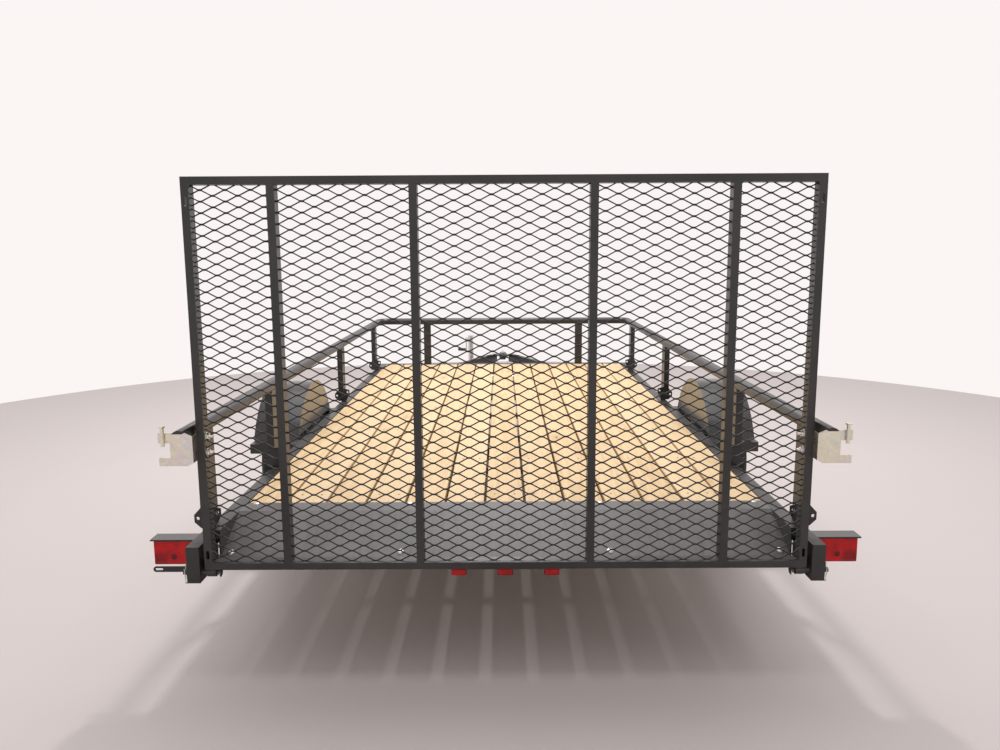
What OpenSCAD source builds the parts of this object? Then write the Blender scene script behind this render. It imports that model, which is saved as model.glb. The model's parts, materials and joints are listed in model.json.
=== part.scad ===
// Single-axle utility trailer: plank deck, pipe side rails, tongue jack and a full-width
// mesh ramp gate. +X points forward to the coupler, +Y to the left, +Z up from the ground.
// Inside place(), x = 0 is the rear face of the closed gate and z = 0 is the deck surface.

$fn = 64;

/* [Deck] */
// Length of the planks
plank_length = 3658; // [2700:1:4900]
// Clear width between the side rails
bed_width = 1934; // [1500:1:2130]
// Number of planks across the bed
plank_count = 13; // [8:1:14]
// Gap between two planks
plank_gap = 9.5; // [3:0.5:14]
// Thickness of a plank
plank_thick = 38.1; // [25:0.1:50]
// Length of the steel deck plate behind the planks
plate_length = 303; // [120:1:500]
// Height of the deck surface above the ground
deck_height = 520; // [460:1:640]

/* [Frame] */
// Height of the side rail angle
rail_tall = 76.2; // [60:0.1:110]
// Width of the side rail's top flange
rail_wide = 50.8; // [45:0.1:80]
// Wall of the frame angles
wall = 5; // [3:0.5:8]
// Width of a crossmember angle
cross_wide = 38; // [25:1:60]
// Number of crossmembers under the planks
cross_count = 7; // [4:1:10]
// Drop of the deck plate at its rear end
tail_drop = 97; // [60:1:105]
// Height of the angle across the rear
rear_tall = 38; // [30:1:80]
// Width of the gate post block
block_wide = 44; // [36:1:70]
// Height of the gate post block
block_tall = 124; // [110:1:140]
// Length of the gate post block
block_long = 175; // [140:1:300]

/* [Pipe rails] */
// Outside diameter of the pipe
pipe_od = 50.8; // [38:0.1:64]
// Wall of the pipe
pipe_wall = 3; // [2:0.5:6]
// Height of the pipe's centre above the deck
pipe_height = 355; // [250:1:600]
// Centreline radius of the front corners
pipe_bend = 76; // [60:1:200]
// Length of the tab that each side pipe reaches back behind the gate
pipe_tab = 90; // [60:1:140]
// Narrow leg of an upright angle
post_narrow = 32; // [25:1:50]
// Wide leg of an upright angle
post_deep = 76; // [50:1:90]
// Wide leg of an upright on the front rail
post_front_wide = 57; // [38:1:76]
// Distance from the fender's rear foot back to an upright
post_behind = 509; // [120:1:700]
// Distance from the fender's front foot ahead to an upright
post_ahead = 276; // [120:1:500]
// Distance from the front rail back to the front uprights of the sides
post_back = 300; // [120:1:500]
// Distance from the centre to an upright on the front rail
post_apart = 625; // [400:1:800]
// Distance from a tie-down hole to the end of its plate
tie_ear = 12; // [11:0.5:20]
// Height of a tie-down plate
tie_tall = 66; // [50:1:80]
// Distance between the two holes of a tie-down plate
tie_span = 67; // [60:1:84]
// Diameter of the holes in a tie-down plate
tie_hole = 12; // [8:1:16]

/* [Gate] */
// Height of the gate from its bottom edge to its top edge
gate_tall = 1277; // [600:1:1500]
// Drop of the gate's bottom edge below the deck
gate_drop = 115; // [90:1:140]
// Width of the gate's bars seen from behind
gate_bar = 25; // [20:1:50]
// Depth of the gate's uprights
gate_deep = 42; // [30:1:46]
// Depth of the gate's bottom rail
gate_sill = 50; // [40:1:60]
// Distance from the centre to the inner pair of gate uprights
gate_inner = 282; // [150:1:400]
// Distance from the centre to the outer pair of gate uprights
gate_outer = 723; // [500:1:860]
// Wall of the gate's hollow bars
bar_wall = 2.5; // [2:0.5:5]
// Thickness of the mesh sheet
mesh_thick = 1.5; // [1:0.5:6]
// Radius of a hinge pin
pin_r = 8; // [5:0.5:12]

/* [Wheels] */
// Outer diameter of a tyre
tyre_od = 688; // [560:1:720]
// Width of a tyre
tyre_wide = 203; // [145:1:225]
// Distance from the planks' rear ends to the axle
axle_ahead = 1397; // [1200:1:1900]
// Gap between the side rail and the tyre
tyre_gap = 28; // [28:1:80]
// Gap between the tyre's tread and the fender
fender_gap = 64; // [50:1:120]
// How far a fender reaches out past the tyre
fender_over = 8; // [5:1:60]
// Length of a leaf spring between its eyes
spring_length = 660; // [500:1:760]

/* [Tongue] */
// Half of the tongue's spread at the front of the bed
tongue_spread = 650; // [500:1:800]
// Length of the tongue ahead of the bed
tongue_reach = 1290; // [1000:1:1600]
// Height of a tongue channel
tongue_tall = 76; // [60:1:102]
// Width of a tongue channel
tongue_wide = 41; // [35:1:60]
// Radius of the coupler's ball socket
ball_r = 25.7; // [23.8:0.1:29.9]
// Distance from the coupler's ball back to the jack
jack_back = 290; // [270:1:500]
// Outside radius of the jack's tube
jack_r = 23; // [20:0.5:32]
// Height of the jack's top above the deck
jack_top = 138; // [90:1:250]
// Travel of the jack's foot
jack_travel = 250; // [100:1:260]

/* [Hidden] */

steel = "#1d1c1d";
zinc = "#b9bbbc";

fit = 0.05;        // radial clearance of a turning or sliding shaft
seat = 0.3;        // gap left between a curved face and what it lies on
swing = 7;         // clearance that a moving piece keeps from its neighbours
sheet = 4;         // thickness of the latch plates

bed_half = bed_width / 2;
gate_width = bed_width + 66;             // the gate laps the side rails
web_y = bed_half + wall;                 // outer face of the side rail's web
rail_y = bed_half + rail_wide;           // outer edge of the side rail's flange
rear_x = gate_sill + swing + 3;          // rear end of the fixed frame
plank_x = rear_x + plate_length;         // rear ends of the planks
front_x = plank_x + plank_length + 2;    // rear face of the front rail's web
nose_x = front_x + wall + tongue_reach;
ball_x = nose_x - ball_r - 14;
x_shift = (pipe_tab - nose_x) / 2; // puts x = 0 at the middle of the length
plank_wide = (bed_width - 4 - (plank_count - 1) * plank_gap) / plank_count;
cross_z = -plank_thick;                  // top of the crossmembers
ramp_x = plank_x - 95;                   // where the deck plate starts to slope down
tail_z = -tail_drop - wall;              // top of the angle across the rear
tail_low = tail_z - rear_tall;           // and its bottom
post_y = rail_y + 4;                     // middle of the uprights and the pipe
pipe_r = pipe_od / 2;
pipe_x = rear_x - 5;                     // where a side pipe's full section begins
pipe_side_y = gate_width / 2 + sheet + swing - 1; // inner side of the pipe beside the gate
pipe_scoop = 45;                         // how far behind the gate the scoop is centred
tab_z = pipe_height + 14;                // underside of the tab
bar_x = front_x + wall + rail_wide / 2;  // centre of the front pipe
block_y = gate_width / 2 + 17;       // inner face of the gate post block
hinge_x = 14;                            // the gate's weight leans it forward, onto its rest
hinge_z = -gate_drop - 13;
knuckle_r = pin_r + 6;
block_end = block_y + block_wide;        // outer face of the gate post block
block_top = -36;                         // top of the gate post block
gate_top = gate_tall - gate_drop;
sill_tall = gate_bar - 2;
wheel_x = plank_x + axle_ahead;
wheel_y = rail_y + tyre_gap + tyre_wide / 2;
wheel_z = tyre_od / 2 - deck_height;
wheel_mid = tyre_wide * 0.4;             // half of the rim's width
rim_r = 190;
fender_r = tyre_od / 2 + fender_gap;
fender_sheet = 3;
fender_y = rail_y + tyre_gap - 13;       // inner face of the fender
fender_end = wheel_y + tyre_wide / 2 + fender_over; // outer edge of the fender
fender_foot = -6;                        // where the fender's arc ends
foot_dx = sqrt(pow(fender_r + fender_sheet, 2) - pow(fender_foot - wheel_z, 2));
post_xs = [rear_x + 30, wheel_x - foot_dx - post_behind, wheel_x + foot_dx + post_ahead,
    front_x - post_back];
tie_y = post_y - 9;                      // middle of a tie-down plate
tie_z = 46;
tie_drop = 11;                           // how far the outer hole is lower than the middle
spread = 25;                             // angle between a tongue channel and the centre line
tongue_z = -rail_tall;                   // top of the tongue channels
tip_y = 75;                              // where a tongue channel's centre line ends
tip_x = bar_x + (tongue_spread - tip_y) / tan(spread);
tongue_back = 640;                       // how far the tongue runs back under the bed
ball_z = tongue_z - 18;
jack_off = jack_r + 37;                  // jack axis to the outer face of the tongue
jack_x = ball_x - jack_back;
jack_y = tongue_spread - (jack_x - bar_x) * tan(spread) + (jack_off + tongue_wide / 2) / cos(spread);
pivot_z = tongue_z - tongue_tall / 2;    // height of the jack's swivel
pad_thick = 6;
leg_r = jack_r - 3;                      // outside radius of the jack's inner leg
tube_foot = pad_thick + jack_travel + 6 - deck_height;
crank_z = jack_top - 33;
crank_arm = 105;
latch_z = pipe_height - 103;             // bottom of the latch plate
latch_tall = 109;
latch_out = 36;                          // how far the latch plate stands behind the gate
latch_reach = 110;                       // how far the latch plate reaches out from the gate
notch_z = 27;                            // bottom of the notch between the latch's fingers
notch_tall = 48;
light_y = block_end + 3;                 // inner edge of a tail light
light_wide = 139;
light_tall = 87;
light_end = light_y + light_wide + 7;    // outer edge of a light bracket
lamp_x = 77;                             // rear face of a tail light
lamp_deep = 52;
lamp_front = lamp_x + lamp_deep;
lamp_top = block_top - wall;
marker_z = tail_low - 6;                 // middle of the marker lights
hub_r = 38;
spindle_r = 20;
hub_face = wheel_y + 2;                  // face of the hub that the rim is bolted to

function power(v, p) = sign(v) * pow(abs(v), p);

// ---- helpers

// Moves what is drawn about the deck into the row's own frame.
module place() translate([x_shift, 0, deck_height]) children();

// Draws on the left for side = 1 and mirrored on the right for side = -1.
module on_side(side) mirror([0, side < 0 ? 1 : 0, 0]) children();

// A box from its low corner to its high corner.
module box(low, high) translate(low) cube(high - low);

// A round bar along Y from y0 to y1.
module bar_y(r, y0, y1) translate([0, y0, 0]) rotate([-90, 0, 0]) cylinder(r = r, h = y1 - y0);

// Extrudes an outline drawn in X and Z along Y, from y0 to y1.
module along_y(y0, y1) translate([0, y1, 0]) rotate([90, 0, 0]) linear_extrude(y1 - y0) children();

// A slot with round ends, standing along the second axis.
module slot(wide, long) {
    square([wide, long - wide], center = true);
    for (end = [-1, 1]) translate([0, end * (long - wide) / 2]) circle(d = wide);
}

module pipe_section() difference() {
    circle(r = pipe_r);
    circle(r = pipe_r - pipe_wall);
}

// ---- frame

module side_rail(side) color(steel) place() on_side(side) {
    box([rear_x + wall, bed_half, -rail_tall], [front_x, web_y, 0]);
    box([rear_x + wall, bed_half, -wall], [front_x, rail_y, 0]);
    along_y(bed_half, web_y) polygon([[rear_x + wall, tail_low], [rear_x + 75, tail_low],
        [plank_x + 60, -rail_tall], [rear_x + wall, -rail_tall]]);
}

module front_rail() color(steel) place() {
    box([front_x, -web_y, -rail_tall], [front_x + wall, web_y, 0]);
    box([front_x, -rail_y, -wall], [front_x + wall + rail_wide, rail_y, 0]);
}

module rear_rail() color(steel) place() {
    box([rear_x, -block_y, tail_low], [rear_x + wall, block_y, tail_z]);
    box([rear_x, -bed_half, tail_low], [rear_x + rail_wide, bed_half, tail_low + wall]);
}

// One angle with a level top leg and a web that hangs from its front edge.
module cross_angle(x, top) {
    box([x, -bed_half, top - wall], [x + cross_wide, bed_half, top]);
    box([x + cross_wide - wall, -bed_half, -rail_tall], [x + cross_wide, bed_half, top]);
}

module crossmembers() color(steel) place() {
    run = plank_length - cross_wide - 4;
    for (i = [0 : cross_count - 1])
        cross_angle(plank_x + 2 + i * run / (cross_count - 1), cross_z);
    cross_angle(plank_x - cross_wide, -wall);
}

module planks() color("#d9b98a") place()
    for (i = [0 : plank_count - 1])
        translate([plank_x, 2 - bed_half + i * (plank_wide + plank_gap), -plank_thick])
            cube([plank_length, plank_wide, plank_thick]);

// The deck plate lies level behind the planks and then slopes down to the rear.
module deck_plate() color("#3c3c40") place()
    along_y(-bed_half, bed_half)
        polygon([[rear_x, -tail_drop], [rear_x, tail_z], [rear_x + wall, tail_z], [ramp_x, -wall],
            [plank_x - 1, -wall], [plank_x - 1, 0], [ramp_x, 0]]);

// The hollow block beside the side rail that carries a gate hinge, with its tie to the rail.
module post_block(side) color(steel) place() on_side(side) difference() {
    low = block_top - block_tall;
    union() {
        box([0, block_y, low], [block_long, block_end, block_top]);
        box([block_long - 25, web_y, -rail_tall], [block_long - 20, block_y, block_top]);
    }
    box([40, block_y + wall, low + wall], [block_long - wall, block_end - wall, block_top - wall]);
    translate([hinge_x, 0, hinge_z]) bar_y(pin_r + fit, block_y - 1, block_end + 1);
}

module hinge_pin(side) color(zinc) place() on_side(side) translate([hinge_x, 0, hinge_z]) {
    bar_y(pin_r, gate_width / 2 - 44, block_end + 16);
    bar_y(pin_r + 4, gate_width / 2 - 50, gate_width / 2 - 44);
}

// ---- pipe rails

// A side pipe with a plugged rear end. Beside the gate its inner side is cut away, and behind
// the gate a scoop leaves only its top, as a tab over the latch.
module pipe_side(side) color(steel) place() on_side(side) difference() {
    bend_x = bar_x - pipe_bend;
    union() {
        translate([-pipe_tab, post_y, pipe_height]) rotate([90, 0, 90])
            linear_extrude(bend_x + pipe_tab) pipe_section();
        translate([-pipe_tab, post_y, pipe_height]) rotate([0, 90, 0])
            cylinder(r = pipe_r, h = pipe_tab + pipe_x + 6);
        translate([bend_x, post_y - pipe_bend, pipe_height])
            rotate_extrude(angle = 90) translate([pipe_bend, 0]) pipe_section();
    }
    low = [-pipe_tab - 1, post_y - pipe_od, pipe_height - pipe_od];
    box(low, [pipe_x, pipe_side_y, pipe_height + pipe_od]);
    box(low, [-pipe_scoop, post_y + pipe_od, tab_z]);
    translate([-pipe_scoop, 0, pipe_height - pipe_r])
        bar_y(tab_z - pipe_height + pipe_r, post_y - pipe_od, post_y + pipe_od);
}

module pipe_front() color(steel) place()
    translate([bar_x, 0, pipe_height]) rotate([90, 0, 0])
        linear_extrude(2 * (post_y - pipe_bend), center = true) pipe_section();

// An upright angle: one leg faces the rear and the other runs forward along its inner edge.
module post(across, along) {
    box([0, -across / 2, 0], [wall, across / 2, pipe_height]);
    box([0, -across / 2, 0], [along, wall - across / 2, pipe_height]);
}

// The uprights are coped to lie against the pipe above them.
module posts_side(side) color(steel) place() on_side(side) difference() {
    for (x = post_xs) translate([x, post_y, 0]) post(post_narrow, post_deep);
    translate([0, post_y, pipe_height]) rotate([0, 90, 0]) cylinder(r = pipe_r + seat, h = front_x);
}

module posts_front() color(steel) place() difference() {
    for (side = [-1, 1]) on_side(side)
        translate([bar_x - post_narrow / 2, post_apart, 0]) post(post_front_wide, post_narrow);
    translate([bar_x, 0, pipe_height]) bar_y(pipe_r + seat, -bed_half, bed_half);
}

// A tie-down plate's outline, which reaches down to the rail, with a hole near each end. The
// outer hole is lower than the inner one.
module tie_outline() difference() {
    a = tie_span / 2;
    end = a + tie_ear;
    top = tie_tall / 2;
    polygon([[end, -tie_drop - 13], [end, 13 - tie_drop], [a / 2, top], [-a / 2, top],
        [-end, tie_drop + 13], [-end, tie_drop - 13], [-0.7 * a, 1 - tie_z], [0.7 * a, 1 - tie_z]]);
    translate([a, -tie_drop]) circle(d = tie_hole);
    translate([-a, tie_drop]) circle(d = tie_hole);
}

module tie_plates(side) color(steel) place() on_side(side)
    for (x = post_xs) translate([x - 6, tie_y, tie_z]) rotate([90, 0, 90])
        linear_extrude(6) tie_outline();

// ---- tongue

// A channel under the frame, open to the outside, that runs in towards the coupler.
module tongue(side) color(steel) place() on_side(side) {
    reach = (tip_x - bar_x + tongue_back) / cos(spread);
    translate([tip_x, tip_y, tongue_z - tongue_tall]) rotate([0, 0, -spread])
        translate([-reach, -tongue_wide / 2, 0]) difference() {
            cube([reach, tongue_wide, tongue_tall]);
            translate([-1, wall, wall]) cube([reach + 2, tongue_wide, tongue_tall - 2 * wall]);
        }
}

module coupler() color(steel) place() difference() {
    back = tip_x - 170;
    edge = tip_y + tongue_wide / 2;
    union() {
        translate([0, 0, tongue_z]) linear_extrude(6)
            polygon([[back, -edge - 60], [tip_x, -edge + 16], [ball_x, -36], [ball_x, 36],
                [tip_x, edge - 16], [back, edge + 60]]);
        translate([ball_x, 0, ball_z - 18]) cylinder(r = ball_r + 14, h = tongue_z + 6 - ball_z + 18);
        translate([ball_x, 0, tongue_z + 6]) cylinder(r = 24, h = 12);
        box([tip_x + 12, -34, ball_z - 14], [ball_x, 34, tongue_z + 6]);
    }
    translate([ball_x, 0, ball_z]) sphere(r = ball_r);
    translate([ball_x, 0, ball_z - 30]) cylinder(r = ball_r, h = 30);
}

module coupler_lever() color(zinc) place() {
    base = tongue_z + 6;
    box([ball_x - 110, -12, base], [ball_x - 60, 12, base + 16]);
    box([ball_x - 150, -9, base + 16], [ball_x - 62, 9, base + 24]);
}

// The jack's own frame: X forward along the tongue channel, Y out from it, Z up.
module at_jack() place() translate([jack_x, jack_y, 0]) rotate([0, 0, -spread]) children();

module jack_mount() color(steel) at_jack() translate([0, 0, pivot_z]) {
    box([-45, -jack_off, -34], [45, 6 - jack_off, 34]);
    bar_y(24, -jack_off, -jack_r - 13);
    bar_y(12, -jack_off, -jack_r - 1);
}

module jack_tube() color(zinc) at_jack() difference() {
    union() {
        translate([0, 0, tube_foot]) cylinder(r = jack_r, h = jack_top - tube_foot - 10);
        translate([0, 0, jack_top - 14]) cylinder(r = jack_r + 2.5, h = 14);
        translate([0, 0, crank_z]) bar_y(15, 0, jack_r + 14);
        translate([0, 0, pivot_z]) bar_y(34, -jack_r - 12.5, -jack_r - 5);
        box([-18, -jack_r - 6, pivot_z - 34], [18, 5 - jack_r, pivot_z + 34]);
    }
    translate([0, 0, tube_foot - 1]) cylinder(r = leg_r + fit, h = jack_top - 60 - tube_foot);
    translate([0, 0, crank_z]) bar_y(7 + fit, jack_r - 8, jack_r + 20);
    translate([0, 0, pivot_z]) bar_y(12 + fit, -jack_r - 13, -jack_r);
}

module jack_leg() color(zinc) at_jack() {
    ground = -deck_height;
    translate([0, 0, ground]) cylinder(r = 50, h = pad_thick);
    translate([0, 0, ground]) cylinder(r = leg_r, h = jack_top - 70 - jack_travel - ground);
}

module jack_crank() color(zinc) at_jack() {
    arm_y = jack_r + 22;
    translate([0, 0, crank_z]) bar_y(7, jack_r - 7, arm_y + 6);
    translate([0, 0, crank_z]) bar_y(13, arm_y - 4, arm_y + 6);
    box([-9, arm_y, crank_z - crank_arm], [9, arm_y + 6, crank_z]);
    translate([0, 0, crank_z - crank_arm]) bar_y(9, arm_y, arm_y + 6);
    translate([0, 0, crank_z - crank_arm]) bar_y(5, arm_y, arm_y + 80);
}

module jack_grip() color("#161616") at_jack() {
    arm_y = jack_r + 22;
    translate([0, 0, crank_z - crank_arm]) difference() {
        bar_y(14, arm_y + 6, arm_y + 86);
        bar_y(5, arm_y, arm_y + 80);
    }
}

// ---- running gear

axle_r = 30;
spring_y = bed_half + wall / 2;
spring_wide = 44;
leaf = 7;
leaf_count = 3;
perch_z = wheel_z + axle_r + 6;          // top of the axle's spring perch
spring_rise = 20;                        // how far the eyes stand above the middle
eye_z = perch_z + (leaf_count - 0.5) * leaf + spring_rise + 3;
eye_r = 13;

module axle() color(steel) place() translate([wheel_x, 0, wheel_z]) {
    bar_y(axle_r, -wheel_y + 125, wheel_y - 125);
    bar_y(spindle_r, -wheel_y - 20, wheel_y + 20);
    for (side = [-1, 1]) translate([0, side * spring_y, 0])
        box([-50, -spring_wide / 2, 0], [50, spring_wide / 2, axle_r + 6]);
}

// One leaf, bent to the arc that lifts both of its ends by the rise.
module leaf_strip(reach, level) {
    arc = (pow(spring_length / 2, 2) + pow(spring_rise, 2)) / (2 * spring_rise);
    along_y(-spring_wide / 2, spring_wide / 2) translate([0, level + arc]) intersection() {
        difference() {
            circle(r = arc);
            circle(r = arc - leaf);
        }
        translate([-reach, -arc - 1]) square([2 * reach, arc]);
    }
}

module spring(side) color(steel) place() on_side(side) translate([wheel_x, spring_y, 0])
    difference() {
        union() {
            for (i = [0 : leaf_count - 1])
                leaf_strip((spring_length / 2 - 4) * (1 + i) / leaf_count, perch_z + i * leaf);
            for (end = [-1, 1]) translate([end * spring_length / 2, 0, eye_z])
                bar_y(eye_r, -spring_wide / 2, spring_wide / 2);
        }
        for (end = [-1, 1]) translate([end * spring_length / 2, 0, eye_z])
            bar_y(7, -spring_wide, spring_wide);
    }

// Both spring hangers of a side: two cheeks under the rail with the eye's bolt across them.
module hangers(side) color(steel) place() on_side(side)
    for (end = [-1, 1]) translate([wheel_x + end * spring_length / 2, spring_y, 0]) {
        gap = spring_wide / 2 + 1;
        box([-30, -gap - wall, -rail_tall - 4], [30, gap + wall, -rail_tall]);
        for (s = [-1, 1]) translate([0, s * (gap + wall / 2), 0])
            box([-22, -wall / 2, eye_z - 20], [22, wall / 2, -rail_tall]);
        translate([0, 0, eye_z]) bar_y(7 - fit, -gap - wall - 6, gap + wall + 6);
    }

module at_wheel(side) place() on_side(side) translate([wheel_x, 0, wheel_z]) children();

module hub(side) color("#8a8c8e") at_wheel(side) difference() {
    union() {
        bar_y(hub_r, wheel_y - 90, wheel_y + 34);
        bar_y(72, hub_face - 10, hub_face);
        bar_y(24, wheel_y + 34, wheel_y + 52);
        for (i = [0 : 4]) rotate([0, i * 72, 0]) translate([57.15, 0, 0])
            bar_y(6, hub_face - 10, hub_face + 26);
    }
    bar_y(spindle_r + fit, wheel_y - 91, wheel_y + 21);
}

// Half of the rim's section, from its lips through the bead seats to the drop centre.
module rim_section() {
    m = wheel_mid;
    polygon([[rim_r + 13, -m - 4], [rim_r + 13, -m + 1], [rim_r, -m + 6], [rim_r, -m + 40],
        [rim_r - 20, -m + 50], [rim_r - 20, m - 50], [rim_r, m - 40], [rim_r, m - 6],
        [rim_r + 13, m - 1], [rim_r + 13, m + 4], [rim_r + 8, m + 4], [rim_r + 8, m],
        [rim_r - 5, m - 8], [rim_r - 5, m - 38], [rim_r - 25, m - 48], [rim_r - 25, -m + 48],
        [rim_r - 5, -m + 38], [rim_r - 5, -m + 8], [rim_r + 8, -m], [rim_r + 8, -m - 4]]);
    polygon([[hub_r + 0.3, 2], [96, 2], [116, 24], [rim_r - 42, 30], [rim_r - 22, 26],
        [rim_r - 22, 32], [rim_r - 42, 36], [112, 30], [93, 8], [hub_r + 0.3, 8]]);
}

module rim(side) color("#d8d9da") at_wheel(side) translate([0, wheel_y, 0]) difference() {
    rotate([-90, 0, 0]) rotate_extrude($fn = 96) rim_section();
    for (i = [0 : 4]) rotate([0, i * 72, 0]) translate([57.15, 0, 0]) bar_y(7, -1, 12);
    for (i = [0 : 7]) rotate([0, i * 45, 0]) translate([rim_r - 56, 0, 0]) bar_y(13, 10, 50);
}

// The tyre's section: a rounded casing that narrows to the bead seats.
module tyre_section() {
    mid = (tyre_od / 2 + rim_r) / 2;
    tall = tyre_od / 2 - mid;
    bead = wheel_mid - 10;
    polygon(concat([[rim_r + seat, bead]],
        [for (a = [-50 : 10 : 230]) [max(mid + tall * power(sin(a), 0.7), rim_r + 13),
            tyre_wide / 2 * power(cos(a), 0.7)]],
        [[rim_r + seat, -bead], [rim_r + seat, -bead + 14], [rim_r + 16, -bead + 18],
            [rim_r + 16, bead - 18], [rim_r + seat, bead - 14]]));
}

module tyre(side) color("#1b1b1b") at_wheel(side) translate([0, wheel_y, 0])
    rotate([-90, 0, 0]) rotate_extrude($fn = 96) tyre_section();

// A round fender: an arched top, closed on its inner side by a plate.
module fender(side) color(steel) place() on_side(side)
    translate([wheel_x, 0, wheel_z]) {
        low = fender_foot - wheel_z;
        along_y(fender_y, fender_end) arch(fender_r + fender_sheet, fender_r, low);
        along_y(fender_y, fender_y + fender_sheet) arch(fender_r + fender_sheet, hub_r, low);
    }

// The part of a ring that stands above a level line.
module arch(outer, inner, level) intersection() {
    difference() {
        circle(r = outer);
        circle(r = inner);
    }
    translate([-outer - 1, level]) square([2 * outer + 2, outer]);
}

// The arms that carry a fender's feet, welded to the side rail.
module fender_brackets(side) color(steel) place() on_side(side)
    for (end = [-1, 1]) translate([wheel_x + end * foot_dx, 0, 0]) {
        xs = end < 0 ? [-85, 5] : [-5, 85];
        box([xs[0], web_y, fender_foot - 47], [xs[1], fender_end - 6, fender_foot]);
    }

// ---- lights

// A back plate on the side of the gate post block, with a hood over the lamp.
module light_bracket(side) color(steel) place() on_side(side) {
    box([lamp_front, block_end, lamp_top - light_tall - 12], [lamp_front + wall, light_end, block_top]);
    box([lamp_x - wall, block_end, lamp_top], [lamp_front + wall, light_end, block_top]);
}

module tail_light(side) color("#b01510") place() on_side(side)
    box([lamp_x, light_y, lamp_top - light_tall], [lamp_front, light_y + light_wide, lamp_top]);

// A slotted bar with a round end on a tab, for the licence plate.
module licence_bracket() color(steel) place()
    translate([lamp_front + wall, light_y + 11, lamp_top - light_tall - 49]) rotate([90, 0, 90])
        linear_extrude(wall) difference() {
            union() {
                square([light_wide + 10, 20]);
                square([30, 70]);
                translate([light_wide + 10, 10]) circle(d = 20);
            }
            translate([light_wide, 10]) rotate(90) slot(8, 28);
        }

module marker_bar() color(steel) place()
    box([rear_x - 3, -190, tail_low], [rear_x, 190, tail_low + 15]);

module marker_lights() color("#b01510") place()
    for (y = [-158, 0, 158]) translate([rear_x - 3, y, marker_z]) rotate([0, -90, 0])
        linear_extrude(12) {
            square([24, 26], center = true);
            for (s = [-13, 13]) translate([0, s]) circle(r = 12);
        }

// ---- gate

bar_ys = [gate_width / 2 - gate_bar / 2, gate_outer, gate_inner];
slot_wide = 10;
slot_long = 30;
slot_zs = [52 - gate_drop, gate_top - 75]; // middles of the slots in the outer uprights

// The bars are hollow, except around the slots of the outer uprights.
module gate_frame() color(steel) place() difference() {
    half = gate_width / 2;
    inside = gate_bar / 2 - bar_wall;
    union() {
        box([0, -half, gate_top - gate_bar], [gate_deep, half, gate_top]);
        box([0, -half, -gate_drop], [gate_sill, half, sill_tall - gate_drop]);
        for (side = [-1, 1], y = bar_ys)
            translate([0, side * y - gate_bar / 2, -gate_drop + 1])
                cube([gate_deep, gate_bar, gate_tall - 2]);
        for (side = [-1, 1]) on_side(side) {
            translate([hinge_x, 0, hinge_z]) bar_y(knuckle_r, half - 34, half - 6);
            box([hinge_x - 10, half - 34, hinge_z], [hinge_x + 10, half - 6, 3 - gate_drop]);
        }
    }
    box([bar_wall, bar_wall - half, gate_top - gate_bar + bar_wall],
        [gate_deep - bar_wall, half - bar_wall, gate_top - bar_wall]);
    box([bar_wall, bar_wall - half, bar_wall - gate_drop],
        [gate_sill - bar_wall, half - bar_wall, sill_tall - gate_drop - bar_wall]);
    for (side = [-1, 1], i = [0 : 2]) {
        low = i == 0 ? slot_zs[0] + slot_long : sill_tall - gate_drop + bar_wall;
        high = i == 0 ? slot_zs[1] - slot_long : gate_top - gate_bar - bar_wall;
        box([bar_wall, side * bar_ys[i] - inside, low],
            [gate_deep - bar_wall, side * bar_ys[i] + inside, high]);
    }
    for (side = [-1, 1]) on_side(side) {
        translate([hinge_x, 0, hinge_z]) bar_y(pin_r + fit, half - 39, half - 1);
        for (z = slot_zs) translate([-1, bar_ys[0], z]) rotate([90, 0, 90])
            linear_extrude(gate_deep + 2) slot(slot_wide, slot_long);
    }
}

// A sheet between each pair of uprights, with the outline of the mesh.
module gate_mesh() color("#2a2a2b") place() {
    x = gate_deep / 2 - mesh_thick / 2;
    ys = concat(-1 * bar_ys, [bar_ys[2], bar_ys[1], bar_ys[0]]);
    for (i = [0 : 4])
        box([x, ys[i] + gate_bar / 2, sill_tall - gate_drop],
            [x + mesh_thick, ys[i + 1] - gate_bar / 2, gate_top - gate_bar]);
}

// The latch on the gate: a forked plate behind the gate, its flange along the outer upright,
// the bent ends of both fingers, and the pin at the upper finger.
module latch(side) color(zinc) place() on_side(side) {
    y = gate_width / 2;
    x = -latch_out;
    end = y + latch_reach;
    translate([x, y, latch_z]) rotate([90, 0, 90]) linear_extrude(sheet) difference() {
        polygon([[0, 10], [18, 0], [latch_reach, 0], [latch_reach, latch_tall], [22, latch_tall],
            [0, latch_tall - 12]]);
        translate([latch_reach - 37, notch_z]) square([60, notch_tall]);
    }
    box([x, y, latch_z + 10], [gate_deep - 8, y + sheet, latch_z + latch_tall - 12]);
    box([x, end - sheet, latch_z], [x + 14, end, latch_z + notch_z]);
    box([x, end - sheet, latch_z + notch_z + notch_tall], [x + 14, end, latch_z + latch_tall]);
    translate([x - 5, end - 17, latch_z + notch_z + notch_tall - 9]) cylinder(r = 6, h = 62);
    translate([x - 5, end - 17, latch_z + notch_z + notch_tall + 53]) cylinder(r = 10, h = 4);
}

side_rail(1);  // side_rail_left
side_rail(-1);  // side_rail_right
front_rail();
rear_rail();
crossmembers();
planks();
deck_plate();
post_block(1);  // post_block_left
post_block(-1);  // post_block_right
hinge_pin(1);  // hinge_pin_left
hinge_pin(-1);  // hinge_pin_right
pipe_side(1);  // pipe_left
pipe_side(-1);  // pipe_right
pipe_front();
posts_side(1);  // posts_left
posts_side(-1);  // posts_right
posts_front();
tie_plates(1);  // tie_plates_left
tie_plates(-1);  // tie_plates_right
tongue(1);  // tongue_left
tongue(-1);  // tongue_right
coupler();
coupler_lever();
jack_mount();
jack_tube();
jack_leg();
jack_crank();
jack_grip();
axle();
spring(1);  // spring_left
spring(-1);  // spring_right
hangers(1);  // hangers_left
hangers(-1);  // hangers_right
hub(1);  // hub_left
hub(-1);  // hub_right
rim(1);  // rim_left
rim(-1);  // rim_right
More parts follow.
